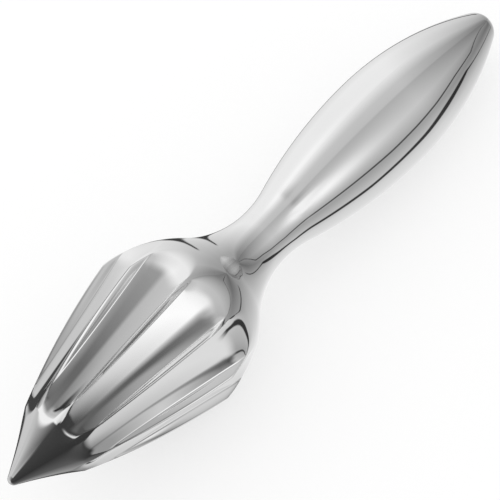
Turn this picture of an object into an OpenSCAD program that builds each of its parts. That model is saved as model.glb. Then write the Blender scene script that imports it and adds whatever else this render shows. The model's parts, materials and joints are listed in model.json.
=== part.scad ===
// Citrus reamer in polished steel, lying on its ribs and its handle.
// Every piece is drawn round the tool axis, with height measured from the tip, and then laid down.

/* [Overall] */
// Length of the tool from the tip to the end of the handle
overall_length = 170; // [150:0.5:200]

/* [Head] */
// Radius of the ball at the very tip
tip_ball_r = 1.4; // [0.8:0.1:2.5]
// Height of the plain cone below the ribs
tip_base_z = 14.7; // [12:0.1:17]
// Radius of the plain cone where the ribs start
tip_base_r = 9.9; // [8:0.1:11]
// How far the side of the plain cone is hollowed from a straight line
tip_hollow = 0.3; // [0.1:0.05:0.6]
// Height of the widest point of the ribs
crest_z = 51.2; // [47:0.1:55]
// Radius over the ribs at the widest point
crest_r = 21.2; // [19:0.1:23]
// How far the rib line bows out from a straight line
rib_bow = 1.05; // [0.4:0.05:1.6]
// Fall of the shoulder where it leaves the widest point, in degrees
shoulder_fall = 6; // [5:0.5:10]
// Radius of the domed shoulder
shoulder_r = 32; // [29:0.5:35]

/* [Flutes] */
// Number of flutes, and of ribs between them
flute_count = 10; // [8:1:12]
// Height of the middle of the flutes' round lower ends
flute_start_z = 17.5; // [16:0.1:20]
// Height of the middle of the flutes' round upper ends
flute_end_z = 55.5; // [53:0.1:57]
// Depth of a flute at its lower end
flute_depth_start = 1.9; // [1.3:0.1:2.4]
// Depth of a flute at the widest point of the head
flute_depth_crest = 3.8; // [2.8:0.1:4.5]
// Width of metal left on top of each rib
rib_land = 1; // [0.8:0.1:1.6]

/* [Core] */
// Wall left between the flutes and the hollow inside the head
head_wall = 3; // [2:0.1:4]
// Length of thread cut in the neck of the head
head_thread_length = 11.5; // [9:0.5:13]

/* [Neck] */
// Height of the narrowest point of the neck, where the head meets the handle
neck_z = 85.8; // [83:0.1:90]
// Radius of the neck at its narrowest point
neck_r = 7.15; // [6.8:0.05:8]

/* [Handle] */
// Height of the handle's fullest point
belly_z = 129.5; // [125:0.5:134]
// Radius of the handle at its fullest point
belly_r = 13.25; // [12:0.05:14.5]
// Radius of the hollow between the neck's narrowest point and the handle
neck_rear_r = 28.6; // [15:0.1:45]
// Radius of the ball at the handle's end
end_r = 5.1; // [3:0.1:8]
// Sheet thickness of the pressed halves
handle_wall = 1.2; // [0.8:0.1:1.4]

/* [Joint] */
// Length of the plug inside the handle's neck
plug_length = 16; // [12:0.5:20]
// Radius of the joining stud
stud_r = 4; // [3:0.1:4.2]
// Chamfer on the ends of the joining stud
stud_chamfer = 0.6; // [0.3:0.1:1]
// Gap left between the stud's ends and the ends of its threads
stud_end_gap = 1; // [0.5:0.1:2]
// Thickness of the seal ring's cord
seal_cord_d = 1; // [0.8:0.05:1.1]
// Running clearance between turned pieces
fit_gap = 0.05; // [0.02:0.01:0.1]

/* [Hidden] */
$fn = 120;

// Straight steps in each curve of an outline
arc_steps = 12;
// Halvings used to find the edge of a rib
edge_steps = 20;
// How far a cut runs past the face that it opens
overrun = 1;

// Points along an arc round a centre, after its first point
function arc(centre, radius, from, to) = [
    for (i = [1 : arc_steps])
        let (angle = from + (to - from) * i / arc_steps)
        centre + radius * [cos(angle), sin(angle)]
];

// Points along an arc between two points, after its first point, that bows out from the tool axis by a height
function bow(from, to, height) =
    let (chord = norm(to - from))
    let (along = (to - from) / chord)
    let (out = [along[1], -along[0]])
    let (turn = 2 * atan(2 * height / chord))
    let (radius = chord / (2 * sin(turn)))
    [
        for (i = [1 : arc_steps])
            let (angle = turn * (2 * i / arc_steps - 1))
            (from + to) / 2 + along * radius * sin(angle) + out * radius * (cos(angle) - cos(turn))
    ];

function reverse(points) = [for (i = [len(points) - 1 : -1 : 0]) points[i]];

// Tip: a ball, then a side that is hollowed a little up to the start of the ribs
tip_centre = [0, tip_ball_r];
tip_base = [tip_base_r, tip_base_z];
tip_line = tip_base - tip_centre;
tip_slope = atan2(tip_line[0], tip_line[1]) - asin(tip_ball_r / norm(tip_line));
tip_join = tip_centre + tip_ball_r * [cos(tip_slope), -sin(tip_slope)];

// Ribs: an arc bowed out from the straight line between the tip's base and the widest point
crest = [crest_r, crest_z];
rib_length = norm(crest - tip_base);
rib_arc_r = (pow(rib_length / 2, 2) + pow(rib_bow, 2)) / (2 * rib_bow);
rib_out = [crest[1] - tip_base[1], tip_base[0] - crest[0]] / rib_length;
rib_centre = (tip_base + crest) / 2 - rib_out * (rib_arc_r - rib_bow);

// Shoulder: a dome that turns into the hollow of the neck without a break
shoulder_centre = crest - shoulder_r * [cos(shoulder_fall), sin(shoulder_fall)];
shoulder_to_neck = [neck_r, neck_z] - shoulder_centre;
neck_front_r =
    (pow(norm(shoulder_to_neck), 2) - pow(shoulder_r, 2)) / (2 * (shoulder_r - shoulder_to_neck[0]));
neck_front_centre = [neck_r + neck_front_r, neck_z];
waist_line = neck_front_centre - shoulder_centre;
waist_angle = atan2(waist_line[1], waist_line[0]);

// Handle: hollow of the neck, two long curves and a ball end, each tangent to the next
neck_to_belly = [belly_r - neck_r, belly_z - neck_z];
belly_front_r = pow(norm(neck_to_belly), 2) / (2 * neck_to_belly[0]) - neck_rear_r;
belly_front_centre = [belly_r - belly_front_r, belly_z];
neck_rear_centre = [neck_r + neck_rear_r, neck_z];
neck_rear_line = neck_rear_centre - belly_front_centre;
neck_rear_angle = atan2(neck_rear_line[1], neck_rear_line[0]);
end_centre = [0, overall_length - end_r];
end_to_belly = [belly_r - end_r, belly_z - end_centre[1]];
belly_rear_r = pow(norm(end_to_belly), 2) / (2 * end_to_belly[0]) + end_r;
belly_rear_centre = [belly_r - belly_rear_r, belly_z];
end_line = end_centre - belly_rear_centre;
end_angle = atan2(end_line[1], end_line[0]);

// Flutes: a round-ended cone for each, set by its depth and by the land left beside it
function rib_radius(z) = rib_centre[0] + sqrt(pow(rib_arc_r, 2) - pow(z - rib_centre[1], 2));
function flute_half_angle(r) = 180 / flute_count - asin(rib_land / (2 * r));
function flute_rise(r, depth) = depth - r * (1 - cos(flute_half_angle(r)));
function flute_radius(r, depth) =
    (pow(r * sin(flute_half_angle(r)), 2) + pow(flute_rise(r, depth), 2)) / (2 * flute_rise(r, depth));
flute_start_rib_r = rib_radius(flute_start_z);
flute_start_r = flute_radius(flute_start_rib_r, flute_depth_start);
flute_crest_r = flute_radius(crest_r, flute_depth_crest);
flute_start_out = flute_start_rib_r - flute_depth_start + flute_start_r;
flute_crest_out = crest_r - flute_depth_crest + flute_crest_r;
flute_share = (flute_end_z - flute_start_z) / (crest_z - flute_start_z);
flute_end_r = flute_start_r + (flute_crest_r - flute_start_r) * flute_share;
flute_end_out = flute_start_out + (flute_crest_out - flute_start_out) * flute_share;
flute_lean = atan2(flute_end_out - flute_start_out, flute_end_z - flute_start_z);
flute_length = norm([flute_end_out - flute_start_out, flute_end_z - flute_start_z]);

// Core: follows the floor of the flutes, one wall further in
core_low_z = flute_start_z + head_wall;
core_low_r = flute_start_rib_r - flute_depth_start - head_wall;
core_high_r = crest_r - flute_depth_crest - head_wall;
core_top_z = neck_z - head_thread_length;
core_shoulder_z = (crest_z + core_top_z) / 2;
core_shoulder_r = (core_high_r + stud_r) / 2 + head_wall / 2;
bore_r = stud_r + fit_gap;

// Seal: a groove in the end of the head, midway between the bore and the handle's wall
seal_r = (bore_r + neck_r - handle_wall) / 2;
groove_depth = seal_cord_d + fit_gap;
groove_width = seal_cord_d + 2 * fit_gap;

// Rest: two ribs touch the surface at the head's widest point, and so does the handle's rear curve
function flute_gap(r, angle, z) =
    let (axis = [sin(flute_lean), 0, cos(flute_lean)])
    let (point = [r * cos(angle) - flute_start_out, r * sin(angle), z - flute_start_z])
    let (along = point * axis)
    norm(point - along * axis) - flute_start_r - (flute_end_r - flute_start_r) * along / flute_length;
function rib_edge(low, high, steps) =
    let (middle = (low + high) / 2)
    steps == 0 ? middle
    : flute_gap(crest_r, middle, crest_z) < 0 ? rib_edge(middle, high, steps - 1)
    : rib_edge(low, middle, steps - 1);
rest_r = crest_r * cos(rib_edge(0, 180 / flute_count, edge_steps));
rest_line = [belly_z - crest_z, belly_rear_centre[0] - rest_r];
rest_tilt = -asin(belly_rear_r / norm(rest_line)) - atan2(rest_line[1], rest_line[0]);
rest_height = crest_z * sin(rest_tilt) + rest_r * cos(rest_tilt);
rest_front = tip_ball_r * cos(rest_tilt) - tip_ball_r;
rest_back = end_centre[1] * cos(rest_tilt) + end_r;

// Puts a piece drawn round the tool axis into its place on the surface
module lay_down() {
    translate([-(rest_front + rest_back) / 2, 0, rest_height])
        rotate([0, 90 + rest_tilt, 0])
            children();
}

// The head's outside, from the tip to the narrowest point of the neck
head_line = concat(
    [[0, 0]],
    arc(tip_centre, tip_ball_r, -90, -tip_slope),
    bow(tip_join, tip_base, -tip_hollow),
    bow(tip_base, crest, rib_bow),
    arc(shoulder_centre, shoulder_r, shoulder_fall, waist_angle),
    arc(neck_front_centre, neck_front_r, 180 + waist_angle, 180)
);

// The handle's outside, or the line that lies so far inside it, from the neck to the end
function handle_line(inset) = concat(
    [[neck_r - inset, neck_z]],
    arc(neck_rear_centre, neck_rear_r + inset, 180, 180 + neck_rear_angle),
    arc(belly_front_centre, belly_front_r - inset, neck_rear_angle, 0),
    arc(belly_rear_centre, belly_rear_r - inset, 0, end_angle),
    arc(end_centre, end_r - inset, end_angle, 90)
);

module flute_cutter() {
    translate([flute_start_out, 0, flute_start_z])
        rotate([0, flute_lean, 0])
            rotate_extrude() {
                intersection() {
                    circle(flute_start_r);
                    translate([0, -flute_start_r])
                        square(flute_start_r);
                }
                polygon([
                    [0, 0],
                    [flute_start_r, 0],
                    [flute_end_r, flute_length],
                    [0, flute_length]
                ]);
                translate([0, flute_length])
                    intersection() {
                        circle(flute_end_r);
                        square(flute_end_r);
                    }
            }
}

// The hollow inside the head, with the threaded bore and the groove of the seal
module head_core() {
    polygon([
        [0, core_low_z],
        [core_low_r, core_low_z],
        [core_high_r, crest_z],
        [core_shoulder_r, core_shoulder_z],
        [bore_r, core_top_z],
        [bore_r, neck_z + overrun],
        [0, neck_z + overrun]
    ]);
    translate([seal_r - groove_width / 2, neck_z - groove_depth])
        square([groove_width, groove_depth + overrun]);
}

module reamer_head() {
    color("gainsboro")
        lay_down()
            difference() {
                rotate([0, 0, 180 / flute_count])
                    rotate_extrude()
                        difference() {
                            polygon(concat(head_line, [[0, neck_z]]));
                            head_core();
                        }
                for (i = [0 : flute_count - 1])
                    rotate([0, 0, i * 360 / flute_count])
                        flute_cutter();
            }
}

// One half of the pressed handle, on the side that the turn points to
module handle_half(turn) {
    lay_down()
        rotate([0, 0, turn])
            rotate_extrude(angle = 180)
                polygon(concat(handle_line(0), reverse(handle_line(handle_wall))));
}

module handle_half_left() {
    color("gainsboro")
        handle_half(0);
}

module handle_half_right() {
    color("silver")
        handle_half(180);
}

module handle_plug() {
    color("lightsteelblue")
        lay_down()
            rotate_extrude()
                intersection() {
                    polygon(concat(handle_line(handle_wall + fit_gap), [[0, neck_z]]));
                    translate([bore_r, neck_z])
                        square([belly_r, plug_length]);
                }
}

module joining_stud() {
    low = core_top_z + stud_end_gap;
    high = neck_z + plug_length - stud_end_gap;
    color("slategray")
        lay_down()
            rotate_extrude()
                polygon([
                    [0, low],
                    [stud_r - stud_chamfer, low],
                    [stud_r, low + stud_chamfer],
                    [stud_r, high - stud_chamfer],
                    [stud_r - stud_chamfer, high],
                    [0, high]
                ]);
}

module seal_ring() {
    color("dimgray")
        lay_down()
            rotate_extrude()
                translate([seal_r, neck_z - groove_depth / 2])
                    circle(seal_cord_d / 2);
}

reamer_head();
handle_half_left();
handle_half_right();
handle_plug();
joining_stud();
seal_ring();
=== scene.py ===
# %% [markdown]
# # A citrus reamer in polished steel
#
# The tool is a pointed, fluted head and a teardrop handle that meet at a narrow neck. Everything is mirror
# bright, so the shape shows only in what it reflects. A mirror also shows every facet and every flat spot,
# so the outside is modelled here again, far finer than the solids, from the same main sizes.

# %% Load the frame
import json
import math

import bpy
import numpy as np
from mathutils import Matrix, Vector


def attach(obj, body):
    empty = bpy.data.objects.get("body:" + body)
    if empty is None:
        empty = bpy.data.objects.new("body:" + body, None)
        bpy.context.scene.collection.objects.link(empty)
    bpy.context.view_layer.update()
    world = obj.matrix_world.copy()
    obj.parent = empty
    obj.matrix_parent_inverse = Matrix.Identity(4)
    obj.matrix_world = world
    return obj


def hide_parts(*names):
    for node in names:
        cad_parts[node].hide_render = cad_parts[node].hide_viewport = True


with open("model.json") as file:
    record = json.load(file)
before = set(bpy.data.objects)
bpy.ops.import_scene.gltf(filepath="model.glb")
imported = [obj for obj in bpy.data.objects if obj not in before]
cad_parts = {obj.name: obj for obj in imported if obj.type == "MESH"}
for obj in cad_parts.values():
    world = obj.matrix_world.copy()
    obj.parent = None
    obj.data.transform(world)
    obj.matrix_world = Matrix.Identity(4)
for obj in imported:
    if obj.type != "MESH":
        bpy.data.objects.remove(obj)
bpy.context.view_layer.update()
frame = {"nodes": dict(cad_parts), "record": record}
print("nodes:", sorted(frame["nodes"]))

# %% [markdown]
# ## The tool axis
#
# The tool lies on two ribs and on its handle, so its axis leans a little. The grip in the record lies on
# that axis, at the handle's fullest point, and names its direction. Each piece is modelled upright, with
# the tip at the origin and the axis along Z, because spinning and measuring are easy there. One matrix
# then lays it down.

# %% Where the tool lies
MM = 0.001
belly_z = 129.5 * MM

grip = frame["record"]["mounts"][0]
tool_axis = Vector(grip["axis"]).normalized()
tip_point = Vector(grip["pos_m"]) - belly_z * tool_axis
lean = math.atan2(tool_axis.x, tool_axis.z)
lay_down = Matrix.Translation(tip_point) @ Matrix.Rotation(lean, 4, "Y")
print(f"the axis leans {math.degrees(lean) - 90:.2f} degrees below level, with the tip at {tip_point}")

# %% [markdown]
# ## Outlines
#
# Both visible bodies are turned shapes: an outline of arcs, carried round the axis. An arc is worked out
# from its centre, radius and angles, or from its two ends and how far it bows out. The steps along it are
# as short as the mirror needs.

# %% Arcs of an outline
def arc(centre, radius, start, end, step):
    """Points along an arc, after its first point, with about the given step."""
    count = max(2, round(abs(end - start) * radius / step))
    angles = [start + (end - start) * i / count for i in range(1, count + 1)]
    return [(centre[0] + radius * math.cos(a), centre[1] + radius * math.sin(a)) for a in angles]


def bow(start, end, height, step):
    """Points along an arc between two points, after the first, that bows out from the axis by a height."""
    chord = math.dist(start, end)
    along = ((end[0] - start[0]) / chord, (end[1] - start[1]) / chord)
    turn = 2 * math.atan(2 * height / chord)
    radius = chord / (2 * math.sin(turn))
    count = max(2, round(chord / step))
    points = []
    for i in range(1, count + 1):
        angle = turn * (2 * i / count - 1)
        run = chord / 2 + radius * math.sin(angle)
        lift = radius * (math.cos(angle) - math.cos(turn))
        radius_here = start[0] + along[0] * run + along[1] * lift
        height_here = start[1] + along[1] * run - along[0] * lift
        points.append((radius_here, height_here))
    return points


print("arc and bow are ready")

# %% [markdown]
# ## The outline of the head
#
# From the tip: a small ball, a slightly hollow cone, a bowed line along the ribs to the widest point, a
# domed shoulder, and the hollow of the neck down to its narrowest point. There the outside stops. The
# inside goes back from the neck: the flat joint face with the groove of the seal, the bore of the stud,
# and the core.

# %% Outline of the head
tip_ball_r = 1.4 * MM
tip_base = (9.9 * MM, 14.7 * MM)
tip_hollow = 0.3 * MM
crest = (21.2 * MM, 51.2 * MM)
rib_bow = 1.05 * MM
shoulder_fall = math.radians(6)
shoulder_r = 32 * MM
neck = (7.15 * MM, 85.8 * MM)
coarse_step = 0.6 * MM
shoulder_step = 0.4 * MM
fine_step = 0.36 * MM
edge_step = 0.05 * MM

tip_run = (tip_base[0], tip_base[1] - tip_ball_r)
tip_slope = math.atan2(tip_run[0], tip_run[1]) - math.asin(tip_ball_r / math.hypot(*tip_run))
tip_join = (tip_ball_r * math.cos(tip_slope), tip_ball_r * (1 - math.sin(tip_slope)))
shoulder_centre = (
    crest[0] - shoulder_r * math.cos(shoulder_fall),
    crest[1] - shoulder_r * math.sin(shoulder_fall),
)
to_neck = (neck[0] - shoulder_centre[0], neck[1] - shoulder_centre[1])
neck_front_r = (math.hypot(*to_neck) ** 2 - shoulder_r**2) / (2 * (shoulder_r - to_neck[0]))
neck_front_centre = (neck[0] + neck_front_r, neck[1])
waist = math.atan2(neck_front_centre[1] - shoulder_centre[1], neck_front_centre[0] - shoulder_centre[0])

head_line = [(0, 0)]
head_line += arc((0, tip_ball_r), tip_ball_r, -math.pi / 2, -tip_slope, fine_step)
head_line += bow(tip_join, tip_base, -tip_hollow, coarse_step)
head_line += bow(tip_base, crest, rib_bow, fine_step)
head_line += arc(shoulder_centre, shoulder_r, shoulder_fall, waist, shoulder_step)
head_line += arc(neck_front_centre, neck_front_r, math.pi + waist, math.pi, coarse_step)
head_line.insert(-1, (neck[0], neck[1] - edge_step))
print(f"{len(head_line)} points on the outside of the head, neck hollow {neck_front_r / MM:.2f} mm")

# %% Inside of the head
stud_r = 4 * MM
fit_gap = 0.05 * MM
head_wall = 3 * MM
head_thread_length = 11.5 * MM
flute_depth_crest = 3.8 * MM
flute_depth_start = 1.9 * MM
flute_start_z = 17.5 * MM
handle_wall = 1.2 * MM
seal_cord_d = 1 * MM

rib_length = math.dist(tip_base, crest)
rib_arc_r = ((rib_length / 2) ** 2 + rib_bow**2) / (2 * rib_bow)
rib_out = ((crest[1] - tip_base[1]) / rib_length, (tip_base[0] - crest[0]) / rib_length)
rib_centre = (
    (tip_base[0] + crest[0]) / 2 - rib_out[0] * (rib_arc_r - rib_bow),
    (tip_base[1] + crest[1]) / 2 - rib_out[1] * (rib_arc_r - rib_bow),
)
flute_start_rib_r = rib_centre[0] + math.sqrt(rib_arc_r**2 - (flute_start_z - rib_centre[1]) ** 2)
bore_r = stud_r + fit_gap
core_low = (flute_start_rib_r - flute_depth_start - head_wall, flute_start_z + head_wall)
core_high = (crest[0] - flute_depth_crest - head_wall, crest[1])
core_top_z = neck[1] - head_thread_length
core_shoulder = ((core_high[0] + stud_r) / 2 + head_wall / 2, (crest[1] + core_top_z) / 2)
seal_r = (bore_r + neck[0] - handle_wall) / 2
groove_out = seal_r + seal_cord_d / 2 + fit_gap
groove_in = seal_r - seal_cord_d / 2 - fit_gap
groove_z = neck[1] - seal_cord_d - fit_gap
head_inside = [
    (groove_out, neck[1]),
    (groove_out, groove_z),
    (groove_in, groove_z),
    (groove_in, neck[1]),
    (bore_r, neck[1]),
    (bore_r, core_top_z),
    core_shoulder,
    core_high,
    core_low,
    (0, core_low[1]),
]
print(f"bore {bore_r / MM:.2f} mm, core {core_low[0] / MM:.2f} to {core_high[0] / MM:.2f} mm in radius")

# %% [markdown]
# ## One tenth of the head
#
# The ten ribs are alike, so one sector is modelled and copied round the axis. A single point is extruded
# along the outline, and the chain of edges is spun through one tenth of a turn. The flute could be cut
# with a Boolean, but that leaves long thin faces with a crease at the rim, and a polished casting has soft
# rims. So the flute is pressed in afterwards, by moving the sector's points towards the axis.

# %% Chains of edges
def deselect_all():
    if bpy.context.object and bpy.context.object.mode != "OBJECT":
        bpy.ops.object.mode_set(mode="OBJECT")
    bpy.ops.object.select_all(action="DESELECT")


def draw_chain(name, points):
    """Starts a piece, in edit mode, as a chain of edges through points of radius and height."""
    deselect_all()
    bpy.ops.mesh.primitive_plane_add(size=MM, location=(0, 0, 0))
    piece = bpy.context.object
    piece.name = piece.data.name = name
    bpy.ops.object.mode_set(mode="EDIT")
    bpy.ops.mesh.merge(type="CENTER")
    bpy.ops.transform.translate(value=(points[0][0], 0, points[0][1]))
    for here, there in zip(points, points[1:]):
        step = (there[0] - here[0], 0, there[1] - here[1])
        bpy.ops.mesh.extrude_vertices_move(TRANSFORM_OT_translate={"value": step})
    return piece


print("chains of edges are ready")

# %% Spin one sector
flute_count = 10
sector_columns = 42
pitch = 2 * math.pi / flute_count

head = draw_chain("polished_head", head_line + head_inside)
bpy.ops.mesh.select_all(action="SELECT")
bpy.ops.mesh.spin(steps=sector_columns, angle=pitch, center=(0, 0, 0), axis=(0, 0, 1))
bpy.ops.object.mode_set(mode="OBJECT")
print(f"{len(head.data.polygons)} faces in one sector")

# %% [markdown]
# ## A flute between two ribs
#
# Across, a flute is a shallow hollow between the steep flanks of two thin ribs. Along, its floor is a
# straight line. The higher of floor and rib is the fluted surface, and the lower of that and the plain
# outside is the head. Both choices are rounded. The first gives the fillet at the foot of a rib, and the
# second gives the soft lip on the cone and the softer rim on the shoulder. Below the widest point the cone,
# carried on past its end, stands for the plain outside in that choice, so that the lip is one smooth
# saddle. The columns of points first move to the foot of the flank and draw together there, because a
# mirror shows every face that cuts across a sharp turn.

# %% Floor of a flute and flanks of a rib
floor_low = (9.75 * MM, 15.2 * MM)
floor_high = (19.2 * MM, 59.8 * MM)
hollow_low = 1.3
hollow_high = 1.15
flank_slope = math.tan(math.radians(79))


def smooth_min(a, b, width):
    """The smaller of two values, rounded where they come within a width of each other."""
    overlap = np.maximum(width - np.abs(a - b), 0) / width
    return np.minimum(a, b) - overlap**2 * width / 4


def smooth_max(a, b, width):
    return -smooth_min(-a, -b, width)


def floor_line(height):
    """Radius of the lowest line of a flute at a height."""
    slope = (floor_high[0] - floor_low[0]) / (floor_high[1] - floor_low[1])
    return floor_low[0] + slope * (height - floor_low[1])


def rib_line(height):
    """Radius of the top of a rib at a height, carried on past both of its ends."""
    return rib_centre[0] + np.sqrt(rib_arc_r**2 - (height - rib_centre[1]) ** 2)


print(f"flute {(crest[0] - floor_line(crest[1])) / MM:.2f} mm deep at the widest point")

# %% Press the flute in
rib_round = 0.45 * MM
fillet = 0.25 * MM
rim_round = 3.0 * MM
lip_round = 1.3 * MM
rim_grows = 6 * MM
floor_share = 0.55
draw_in = 0.6
foot_rounds = 12
foot_range = (0.6 * pitch / 2, 0.96 * pitch / 2)

spots = np.empty(len(head.data.vertices) * 3)
head.data.vertices.foreach_get("co", spots)
spots = spots.reshape(-1, 3)
outline_r = np.hypot(spots[:, 0], spots[:, 1])
height = spots[:, 2]
across = np.abs(np.arctan2(spots[:, 1], spots[:, 0])) / pitch * 2 - 1
hollow = np.interp(height, [floor_low[1], crest[1]], [hollow_low, hollow_high])

foot = np.full(len(height), pitch / 2)
for _ in range(foot_rounds):
    drop = np.maximum(rib_line(height) - floor_line(height) * (1 + hollow * foot**2), 0)
    foot = pitch / 2 - np.sqrt((drop / flank_slope + rib_round) ** 2 - rib_round**2) / rib_line(height)
foot = np.clip(foot, *foot_range)
along_floor = np.clip(np.abs(across) / floor_share, 0, 1)
along_floor = along_floor + draw_in / math.pi * np.sin(math.pi * along_floor)
along_flank = np.clip((np.abs(across) - floor_share) / (1 - floor_share), 0, 1)
angle = np.sign(across) * (foot * along_floor + (pitch / 2 - foot) * along_flank)
hollow_r = floor_line(height) * (1 + hollow * angle**2)
from_rib = rib_line(height) * np.sin(pitch / 2 - np.abs(angle))
ridge_r = rib_line(height) - flank_slope * (np.hypot(from_rib, rib_round) - rib_round)
fluted_r = smooth_max(hollow_r, ridge_r, fillet)
rim = lip_round + (rim_round - lip_round) * np.clip((height - crest[1]) / rim_grows + 1, 0, 1)
rim = edge_step + (rim - edge_step) * (1 - (2 * np.abs(angle) / pitch) ** 4)
cone_r = tip_base[0] + (height - tip_base[1]) * math.tan(tip_slope)
over_r = np.where((height > tip_base[1]) & (height < crest[1]), cone_r, outline_r)
pressed_r = np.minimum(outline_r, smooth_min(over_r, fluted_r, rim))
placed = np.stack([pressed_r * np.cos(angle), pressed_r * np.sin(angle), height], axis=1)
head.data.vertices.foreach_set("co", placed.ravel())
head.data.update()
print(f"deepest press {np.max(outline_r - pressed_r) / MM:.2f} mm")

# %% Copy the sector round the axis
seam = 0.0005 * MM
soft_edge = math.radians(35)


def close_up(piece):
    """Merges the seams of a piece in edit mode, turns its faces outwards and smooths its shading."""
    bpy.ops.mesh.select_all(action="SELECT")
    bpy.ops.mesh.remove_doubles(threshold=seam)
    bpy.ops.mesh.normals_make_consistent(inside=False)
    bpy.ops.object.mode_set(mode="OBJECT")
    bpy.ops.object.shade_smooth_by_angle(angle=soft_edge)


def lay(piece):
    """Lays a piece that stands upright at the origin down in its place, in its mesh."""
    piece.matrix_world = lay_down
    bpy.ops.object.transform_apply(location=True, rotation=True, scale=True)


bpy.ops.object.mode_set(mode="EDIT")
bpy.ops.mesh.select_all(action="SELECT")
copies = flute_count - 1
bpy.ops.mesh.spin(steps=copies, angle=copies * pitch, dupli=True, center=(0, 0, 0), axis=(0, 0, 1))
close_up(head)
lay(head)
print(f"head: {len(head.data.polygons)} faces")

# %% [markdown]
# ## The handle
#
# The handle is pressed from sheet in two halves, welded and polished flush. Its outline is the hollow
# behind the neck, two long curves that meet at the fullest point, and a ball end. Each half is a half turn
# of that line. A Solidify modifier gives the sheet its thickness inwards. Close to each edge lies one more
# row of points, so that the shading runs straight up to the seam and the two halves reflect as one.

# %% Outline of the handle
overall_length = 170 * MM
belly_r = 13.25 * MM
neck_rear_r = 28.6 * MM
end_r = 5.1 * MM
handle_step = 1.0 * MM
end_step = 0.3 * MM

swell = (belly_r - neck[0], belly_z - neck[1])
belly_front_r = math.hypot(*swell) ** 2 / (2 * swell[0]) - neck_rear_r
belly_front_centre = (belly_r - belly_front_r, belly_z)
neck_rear_centre = (neck[0] + neck_rear_r, neck[1])
neck_rear_angle = math.atan2(neck_rear_centre[1] - belly_z, neck_rear_centre[0] - belly_front_centre[0])
end_centre = (0, overall_length - end_r)
fall = (belly_r - end_r, belly_z - end_centre[1])
belly_rear_r = math.hypot(*fall) ** 2 / (2 * fall[0]) + end_r
belly_rear_centre = (belly_r - belly_rear_r, belly_z)
end_angle = math.atan2(end_centre[1] - belly_z, -belly_rear_centre[0])

handle_line = [neck, (neck[0], neck[1] + edge_step)]
handle_line += arc(neck_rear_centre, neck_rear_r, math.pi, math.pi + neck_rear_angle, coarse_step)
handle_line += arc(belly_front_centre, belly_front_r, neck_rear_angle, 0, handle_step)
handle_line += arc(belly_rear_centre, belly_rear_r, 0, end_angle, handle_step)
handle_line += arc(end_centre, end_r, end_angle, math.pi / 2, end_step)
handle_line[-1] = (0, overall_length)
print(f"{len(handle_line)} points, long curves of {belly_front_r / MM:.1f} and {belly_rear_r / MM:.1f} mm")

# %% Press the two halves
half_columns = 90


def press_half(name, turn):
    """One half of the handle, spun from the seam by a half turn."""
    half = draw_chain(name, handle_line)
    bpy.ops.mesh.select_all(action="SELECT")
    bpy.ops.mesh.spin(steps=half_columns, angle=turn, center=(0, 0, 0), axis=(0, 0, 1))
    for side in (-edge_step, edge_step):
        bpy.ops.mesh.select_all(action="SELECT")
        bpy.ops.mesh.bisect(plane_co=(0, side, 0), plane_no=(0, 1, 0))
    close_up(half)
    lay(half)
    bpy.ops.object.modifier_add(type="SOLIDIFY")
    sheet = half.modifiers[-1]
    sheet.thickness = handle_wall
    sheet.offset = -1
    bpy.ops.object.modifier_apply(modifier=sheet.name)
    bpy.ops.object.shade_smooth_by_angle(angle=soft_edge)
    print(f"{name}: {len(half.data.polygons)} faces")
    return half


left_half = press_half("polished_handle_left", math.pi)
right_half = press_half("polished_handle_right", -math.pi)

# %% [markdown]
# ## The camera
#
# The picture shows the tool from above, with the tip nearer and the axis rising to the right. Three angles
# set that view: how the axis leans in the picture, how far the handle tips away, and how the tool is
# rolled about its axis. The camera is about three tool lengths away.

# %% Set the camera
axis_in_picture = math.radians(44.1)
axis_tips_away = math.radians(22)
roll = math.radians(32)
camera_distance = 510 * MM
picture_middle = 85 * MM
picture_offset = 4.2 * MM
focal_pixels = 2149
picture_pixels = 500

turned = lay_down.to_3x3()
along = turned @ Vector((0, 0, 1))
upward = turned @ Vector((-1, 0, 0))
beside = turned @ Vector((0, -1, 0))
facing = math.cos(roll) * upward + math.sin(roll) * beside
sideways = -math.sin(roll) * upward + math.cos(roll) * beside
in_plane = math.cos(axis_tips_away) * along + math.sin(axis_tips_away) * facing
camera_z = math.cos(axis_tips_away) * facing - math.sin(axis_tips_away) * along
camera_x = math.cos(axis_in_picture) * in_plane + math.sin(axis_in_picture) * sideways
camera_y = math.sin(axis_in_picture) * in_plane - math.cos(axis_in_picture) * sideways

deselect_all()
bpy.ops.object.camera_add()
camera = bpy.context.object
camera.data.sensor_width = 36
camera.data.lens = camera.data.sensor_width * focal_pixels / picture_pixels
middle_point = lay_down @ Vector((0, 0, picture_middle))
stand = middle_point - picture_offset * in_plane + camera_distance * camera_z
axes = Matrix((camera_x, camera_y, camera_z)).transposed()
camera.matrix_world = Matrix.Translation(stand) @ axes.to_4x4()
bpy.context.scene.camera = camera
print(f"camera {math.degrees(math.asin(camera_z.z)):.1f} degrees above the floor")

# %% [markdown]
# ## Writing shaders as expressions
#
# A finish is a sum of small effects, and sums are easier to read as Python than as a web of nodes. This
# class holds one socket. Arithmetic on it adds Math nodes, and node() adds a node of any other kind.

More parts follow.
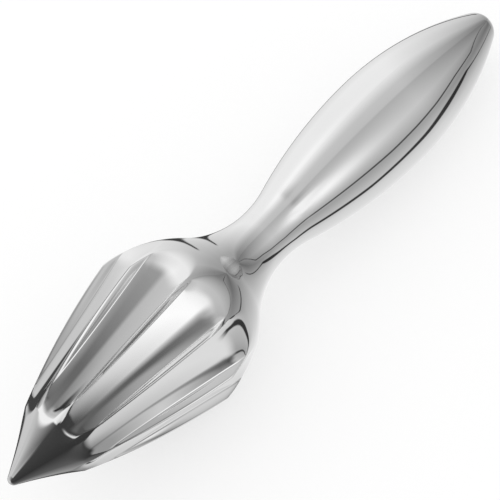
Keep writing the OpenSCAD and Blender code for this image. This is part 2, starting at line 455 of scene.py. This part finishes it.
# %% A socket with arithmetic
class Wire:
    def __init__(self, tree, socket=None):
        self.tree = tree
        self.socket = socket

    def node(self, kind, settings=None, inputs=None, output=0):
        """Adds a node: its settings come first, then the values or links of its sockets."""
        made = self.tree.nodes.new("ShaderNode" + kind)
        for name, value in (settings or {}).items():
            if name == "stops":
                self.set_stops(made.color_ramp, value)
            else:
                setattr(made, name, value)
        for name, value in (inputs or {}).items():
            if isinstance(value, Wire):
                self.tree.links.new(value.socket, made.inputs[name])
            else:
                made.inputs[name].default_value = value
        return Wire(self.tree, made.outputs[output] if made.outputs else None)

    @staticmethod
    def set_stops(ramp, stops):
        """Gives a colour ramp grey stops, each a place from 0 to 1 and a brightness."""
        while len(ramp.elements) > 1:
            ramp.elements.remove(ramp.elements[-1])
        for i, (place, grey) in enumerate(stops):
            stop = ramp.elements[0] if i == 0 else ramp.elements.new(place)
            stop.position = place
            stop.color = (grey, grey, grey, 1)

    def math(self, operation, *values):
        return self.node("Math", {"operation": operation}, dict(enumerate(values)))

    def __add__(self, other):
        return self.math("ADD", self, other)

    def __radd__(self, other):
        return self.math("ADD", other, self)

    def __sub__(self, other):
        return self.math("SUBTRACT", self, other)

    def __rsub__(self, other):
        return self.math("SUBTRACT", other, self)

    def __mul__(self, other):
        return self.math("MULTIPLY", self, other)

    def __rmul__(self, other):
        return self.math("MULTIPLY", other, self)


def new_shader(name):
    """An empty material and a wire to start its nodes from."""
    material = bpy.data.materials.new(name)
    material.use_nodes = True
    material.node_tree.nodes.clear()
    return material, Wire(material.node_tree)


print("shader class ready")

# %% [markdown]
# ## Polished steel
#
# Buffed stainless steel is a mirror with faults: a film of smudges that makes it a little rougher in
# places, the finest of lines left by the wheel, and a slight unevenness left from the casting or the
# press. Tone and roughness carry the first, and one bump carries the others.

# %% Finish of the head and the handle
def polished_steel(name, brightness, smudge_scale, uneven_scale):
    material, start = new_shader(name)
    spot = start.node("TexCoord", output="Object")
    smudge = start.node("TexNoise", inputs={"Vector": spot, "Scale": smudge_scale, "Detail": 4})
    drawn_out = {"Vector": spot, "Rotation": (0, -lean, 0), "Scale": (1, 1, 0.04)}
    along_axis = start.node("Mapping", inputs=drawn_out)
    wheel_lines = start.node("TexNoise", inputs={"Vector": along_axis, "Scale": 9000, "Detail": 2})
    uneven = start.node("TexNoise", inputs={"Vector": spot, "Scale": uneven_scale, "Detail": 1})
    tone = start.node(
        "ValToRGB",
        {"stops": [(0.3, brightness * 0.97), (0.7, brightness)]},
        {"Fac": smudge},
    )
    bump = start.node(
        "Bump",
        inputs={"Strength": 0.2, "Distance": 0.01 * MM, "Height": uneven + 0.01 * wheel_lines},
        output="Normal",
    )
    surface = start.node(
        "BsdfPrincipled",
        inputs={"Base Color": tone, "Metallic": 1.0, "Roughness": 0.02 + 0.05 * smudge, "Normal": bump},
    )
    start.node("OutputMaterial", inputs={"Surface": surface})
    return material


head.data.materials.clear()
steel_brightness = 0.87
head.data.materials.append(polished_steel("polished_cast_steel", steel_brightness, 55, 90))
handle_steel = polished_steel("polished_sheet_steel", steel_brightness, 45, 60)
for half in (left_half, right_half):
    half.data.materials.clear()
    half.data.materials.append(handle_steel)
print("polished finishes:", head.data.materials[0].name, handle_steel.name)

# %% [markdown]
# ## The pieces inside
#
# The plug and the stud are turned from bar and left as the tool left them, with fine rings round the axis.
# The seal is matt rubber. These three keep the shapes of their solids, so they only need a finish.

# %% Finish of the pieces inside
def turned_steel():
    material, start = new_shader("turned_steel")
    spot = start.node("TexCoord", output="Object")
    upright = start.node("Mapping", inputs={"Vector": spot, "Rotation": (0, -lean, 0)})
    rings = start.node(
        "TexWave",
        {"wave_type": "BANDS", "bands_direction": "Z"},
        {"Vector": upright, "Scale": 700, "Distortion": 0.4, "Detail": 2},
        output="Fac",
    )
    stain = start.node("TexNoise", inputs={"Vector": spot, "Scale": 150, "Detail": 4})
    tone = start.node("ValToRGB", {"stops": [(0.3, 0.5), (0.75, 0.66)]}, {"Fac": stain})
    cut_depth = {"Strength": 0.4, "Distance": 0.02 * MM, "Height": rings}
    bump = start.node("Bump", inputs=cut_depth, output="Normal")
    surface = start.node(
        "BsdfPrincipled",
        inputs={"Base Color": tone, "Metallic": 1.0, "Roughness": 0.25 + 0.15 * rings, "Normal": bump},
    )
    start.node("OutputMaterial", inputs={"Surface": surface})
    return material


def seal_rubber():
    material, start = new_shader("seal_rubber")
    spot = start.node("TexCoord", output="Object")
    grain = start.node("TexNoise", inputs={"Vector": spot, "Scale": 2500, "Detail": 3})
    tone = start.node("ValToRGB", {"stops": [(0.3, 0.012), (0.8, 0.03)]}, {"Fac": grain})
    grain_depth = {"Strength": 0.3, "Distance": 0.02 * MM, "Height": grain}
    bump = start.node("Bump", inputs=grain_depth, output="Normal")
    surface = start.node(
        "BsdfPrincipled",
        inputs={"Base Color": tone, "Roughness": 0.55 + 0.25 * grain, "Normal": bump},
    )
    start.node("OutputMaterial", inputs={"Surface": surface})
    return material


inside_finish = {"handle_plug": turned_steel(), "seal_ring": seal_rubber()}
inside_finish["joining_stud"] = inside_finish["handle_plug"]
for name, material in inside_finish.items():
    mesh = frame["nodes"][name].data
    mesh.materials.clear()
    mesh.materials.append(material)
print("finished inside:", sorted(inside_finish))

# %% [markdown]
# ## The floor
#
# The tool lies on white. The floor is a plain pale sheet that takes the tool's shadow. The camera sees it
# lifted towards white, as a picture with a white ground has it.

# %% Lay the floor
floor_size = 6
shadow_share = 0.35

deselect_all()
bpy.ops.mesh.primitive_plane_add(size=floor_size)
floor = bpy.context.object
floor.name = "floor"
floor.visible_glossy = False
paper, start = new_shader("white_paper")
plain = start.node("BsdfDiffuse", inputs={"Color": (1, 1, 1, 1)})
lifted = start.node("Emission", inputs={"Color": (1, 1, 1, 1), "Strength": 1.0})
seen = start.node("LightPath", output="Is Camera Ray")
ground = start.node("MixShader", inputs={0: seen * (1 - shadow_share), 1: plain, 2: lifted})
start.node("OutputMaterial", inputs={"Surface": ground})
floor.data.materials.append(paper)
print("floor laid")

# %% [markdown]
# ## The light
#
# A polished tool is lit by what stands round it, and shows all of it. Far off stands a tent of white card.
# Close round the head stands a bowl of smaller things. Only reflections see them: the camera sees white,
# and the floor gets an even soft light. A direction is told by two angles. Turn goes round the tool's
# axis, from the camera's side to the right. Rise goes from square to the axis up towards the handle's end.
# A card is then a short sum on these two angles, and its grey is written as the level that the steel shows
# in the picture.

# %% Two angles for a direction
half_turn = 180


def two_angles(direction):
    """Turn round the tool's axis and rise along it, in degrees, of a direction in a shader."""
    settings = {"operation": "DOT_PRODUCT"}
    share = [
        direction.node("VectorMath", settings, {0: direction, 1: tuple(axis)}, output="Value")
        for axis in (sideways, facing, along)
    ]
    turn = direction.math("ARCTAN2", share[0], share[1]) * (half_turn / math.pi)
    rise = direction.math("ARCSINE", share[2]) * (half_turn / math.pi)
    return turn, rise


def follow(angle, stops):
    """A value that follows an angle through stops of degrees and value."""
    places = [(degrees / half_turn / 2 + 0.5, value) for degrees, value in stops]
    return angle.node("ValToRGB", {"stops": places}, {"Fac": angle * (0.5 / half_turn) + 0.5})


def bend(angle, stops):
    """As follow(), for values in degrees."""
    return follow(angle, [(a, b / half_turn / 2 + 0.5) for a, b in stops]) * (2 * half_turn) - half_turn


def fade(value, near, far):
    """1 up to near and 0 from far on, with a soft step between."""
    settings = {"interpolation_type": "SMOOTHSTEP"}
    inputs = {"Value": value, "From Min": near, "From Max": far, "To Min": 1.0, "To Max": 0.0}
    return value.node("MapRange", settings, inputs)


def off(value, middle):
    """How far a value lies from a middle, either way."""
    return value.math("ABSOLUTE", value - middle)


print("angle helpers are ready")


# %% Greys as the steel shows them
def grey(level):
    """Brightness of a card that polished steel shows as this level, from 0 to 255, on a screen."""
    shown = level / 255
    light = shown / 12.92 if shown < 0.04 else ((shown + 0.055) / 1.055) ** 2.4
    return light / steel_brightness


def greys(angle, stops):
    """A brightness that follows an angle through stops of degrees and level."""
    return follow(angle, [(a, grey(level)) for a, level in stops])


print(f"a middle grey card has brightness {grey(128):.2f}")

# %% [markdown]
# ## The tent
#
# The tent is white on the left, greyer where the camera looks in, and dullest on the right. It grows
# darker where it closes, beyond the handle's end. Two lamps behind the card make soft glows: one is the
# white streak along the handle, and a weaker one lights its left side. Dark gaps between the cards draw
# the thin black lines by which an eye knows polished steel: two run along the right of the handle and one
# crosses the neck.

# %% Light of the tent
scene = bpy.context.scene
scene.world = bpy.data.worlds.new("studio")
scene.world.use_nodes = True
scene.world.node_tree.nodes.clear()
start = Wire(scene.world.node_tree)
turn, rise = two_angles(start.node("TexCoord", output="Generated"))
white_left = [(-180, 205), (-120, 235), (-70, 235)]
grey_front = [(-40, 195), (-21, 190), (-18, 175), (25, 198)]
dull_right = [(65, 160), (115, 212), (180, 228)]
tent_top = [(33, 1), (75, 0.45), (90, 0.35)]


def glow(at, spread):
    """A soft round patch of light, 1 at its middle."""
    turn_off = (turn - at[0]) * (1 / spread)
    rise_off = (rise - at[1]) * (1 / spread)
    return turn.math("EXPONENT", -0.5 * (turn_off * turn_off + rise_off * rise_off))


tent_light = greys(turn, white_left + grey_front + dull_right) * follow(rise, tent_top)
tent_light = tent_light + 0.45 * glow((22, -4), 12.5) + 0.13 * glow((-65, 3), 10)
print("the tent has three cards and two glows")

# %% Gaps between the tent's cards
first_gap = bend(rise, [(-90, 40), (20, 61), (38, 58), (50, 52), (62, 52), (78, 15)])
second_gap = bend(rise, [(0, 93), (15, 98), (30, 93), (52, 78), (75, 111)])
second_half = bend(rise, [(22, 2.2), (38, 4.5), (48, 3.5), (56, 0.6)])
neck_gap = bend(rise, [(28, -167), (66, -119)])
neck_half = bend(rise, [(28, 2.5), (45, 0.5)])


def dark_gap(middle, half, soft, depth):
    """The share of light that a gap takes away, for its middle, half width, soft edge and depth."""
    return depth * fade(off(turn, middle) - half, 0, soft)


gaps = [
    dark_gap(first_gap, 0.8, 2.2, 0.85),
    dark_gap(second_gap, second_half, 3.0, 0.93) * fade(rise, 73, 78),
    dark_gap(neck_gap, neck_half, 2.2, 0.93) * fade(rise, 57, 62),
]
for gap in gaps:
    tent_light = tent_light * (1 - gap)
print(f"{len(gaps)} gaps between the tent's cards")

# %% Light the scene
floor_light = 1.03

mirrored = start.node("LightPath", output="Is Glossy Ray")
seen = start.node("LightPath", output="Is Camera Ray")
even = start.node("Background", inputs={"Color": (1, 1, 1, 1), "Strength": floor_light})
studio = start.node("Background", inputs={"Color": tent_light, "Strength": 1.0})
white = start.node("Background", inputs={"Color": (1, 1, 1, 1), "Strength": 1.0})
lit = start.node("MixShader", inputs={0: mirrored, 1: even, 2: studio})
sky = start.node("MixShader", inputs={0: seen, 1: lit, 2: white})
start.node("OutputWorld", inputs={"Surface": sky})
scene.view_settings.view_transform = "Standard"
print("world set")

# %% [markdown]
# ## The bowl round the head
#
# The floor of a flute is straight, so a far card would look the same all along it. Things close by change
# along its length. They are painted on the inside of a bowl round the head, which only reflections see.
# Its upper part is clear, so that the handle looks past it at the tent. Each card lies over the ones
# before it.

# %% Set the bowl
bowl_r = 180 * MM
bowl_middle = lay_down @ Vector((0, 0, 40 * MM))

deselect_all()
bpy.ops.mesh.primitive_uv_sphere_add(segments=96, ring_count=48, radius=bowl_r, location=bowl_middle)
bowl = bpy.context.object
bowl.name = "bowl"
bpy.ops.object.transform_apply(location=True)
bowl.visible_camera = False
bowl.visible_diffuse = False
bowl.visible_shadow = False
bowl_card, start = new_shader("bowl_card")
spot = start.node("NewGeometry", output="Position")
away = start.node("VectorMath", {"operation": "SUBTRACT"}, {0: spot, 1: tuple(bowl_middle)})
turn, rise = two_angles(start.node("VectorMath", {"operation": "NORMALIZE"}, {0: away}))


def left_of(edge, soft):
    """1 on the left of an edge and 0 on its right."""
    return fade(turn - edge, -soft, soft)


def within(angle, edges, soft):
    """1 between two edges of an angle and 0 outside them."""
    return fade(edges[0] - angle, -soft, soft) * fade(angle - edges[1], -soft, soft)


def put(light, level, share):
    """Lays something of a brightness over a share of the light."""
    return light + (level - light) * share


print(f"bowl of {bowl_r / MM:.0f} mm radius round the head")

# %% [markdown]
# ## Cards and a lamp in the bowl
#
# A pale card fills the right. Over it stand a framed card with a dark bar, then the lamp that makes the
# broad white flute in the middle. On the left lie a pale card with a dark notch beside the lamp, a grey
# card, and lighter ones. Behind the tool it is dark, and a dark slit shows between two cards low on the
# left.

# %% Cards on the right
card_soft = 5

light = greys(rise, [(-16, 60), (-6, 190), (4, 220)])
framed_card = greys(rise, [(-10, 150), (-4, 205), (4, 125), (12, 190)])
framed_edges = (20, 58)
light = put(light, framed_card, within(turn, framed_edges, card_soft))
bar = bend(rise, [(-6, 65), (4, 55)])
bar_depth = follow(rise, [(-10, 0.3), (8, 0.8), (15, 0)])
light = light * (1 - bar_depth * fade(off(turn, bar), 0.5, 4.5))
print("right: a pale card, and a framed card with a dark bar")

# %% Lamp in the middle
lamp = greys(rise, [(-15, 60), (-8, 205), (0, 254), (20, 230)])
lamp_left = bend(rise, [(-10, 6), (0, 1)])
lamp_right = bend(rise, [(6, 40), (20, 22)])
light = put(light, lamp, within(turn, (lamp_left, lamp_right), card_soft))
print("middle: a lamp")

# %% Cards on the left
grey_edge = -36
light_edge = -60
outer_edge = -100
edge_soft = 6

pale_card = greys(rise, [(-14, 80), (-6, 165), (5, 168), (18, 205)])
light = put(light, pale_card, left_of(lamp_left, card_soft))
notch = bend(rise, [(-8, -5), (6, -13)])
notch_grey = greys(rise, [(-5, 95), (20, 170)])
light = put(light, notch_grey, fade(off(turn, notch), 1.5, 9))
grey_card = greys(rise, [(-20, 130), (-9, 100), (3, 152)])
light = put(light, grey_card, left_of(grey_edge, edge_soft))
light_card = greys(rise, [(-18, 185), (-11, 125), (-2, 180), (20, 215)])
light = put(light, light_card, left_of(light_edge, edge_soft))
outer_card = greys(rise, [(-12, 60), (-6, 200)])
light = put(light, outer_card, left_of(outer_edge, card_soft))
print("left: four cards and a notch")

# %% Dark behind the tool
dark_right = 150
dark_soft = 3

dark_left = bend(rise, [(-12, -93), (-7, -115), (3, -120)])
light = put(light, grey(65), left_of(dark_left, dark_soft) * within(rise, (-15, 5), dark_soft))
light = put(light, grey(70), (1 - left_of(dark_right, dark_soft)) * within(rise, (-13, 10), dark_soft))
slit = bend(rise, [(-17, -73), (-5, -91)])
light = put(light, grey(50), fade(off(turn, slit), 2, 6) * within(rise, (-17, -5), 2))
print("behind: dark on both sides, and a slit")

# %% [markdown]
# ## The room below
#
# The cone of the tip looks down at the room: lit from the left, dark in front, and paler behind. A bright
# glare lies low on the left, where the lips of the flutes look, with a narrow glint beside it. They show as
# the white saddle between flute and cone.

# %% Room, glare and the edge of the bowl
room = greys(turn, [(-110, 200), (-30, 65), (60, 50), (110, 90), (170, 185)])
room_edge = bend(turn, [(-118, -16), (-100, -26), (30, -25), (125, -14)])
light = put(light, room, fade(rise - room_edge, -3, 3))
glare_low = bend(turn, [(-96, -37), (-36, -50)])
glare = within(turn, (-95, -25), 8) * within(rise, (glare_low, -26), 5)
light = put(light, grey(240), glare)
glint = within(turn, (-30, 10), 8) * within(rise, (-36, -31), 2.5)
light = put(light, grey(225), glint)
shine = start.node("Emission", inputs={"Color": light, "Strength": 1.0})
clear = start.node("BsdfTransparent")
bowl_top = bend(turn, [(-12, 12), (8, 20), (30, 12), (60, 10), (95, 14)])
bowl_side = start.node("MixShader", inputs={0: fade(rise - bowl_top, -6, 6), 1: clear, 2: shine})
start.node("OutputMaterial", inputs={"Surface": bowl_side})
bowl.data.materials.append(bowl_card)
print("bowl set round the head")

# %% [markdown]
# ## Tie the pieces to the tool
#
# Each new piece rides on the tool's one body and stands for the solid that it replaces.

# %% Tie the pieces to the frame
stands_for = {
    head: ("reamer_head", "polished_head"),
    left_half: ("handle_half_left", "polished_handle"),
    right_half: ("handle_half_right", "polished_handle"),
}
for piece, (node, slot) in stands_for.items():
    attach(piece, "root")
    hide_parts(node)
print(f"{len(stands_for)} pieces ride on the tool's body")
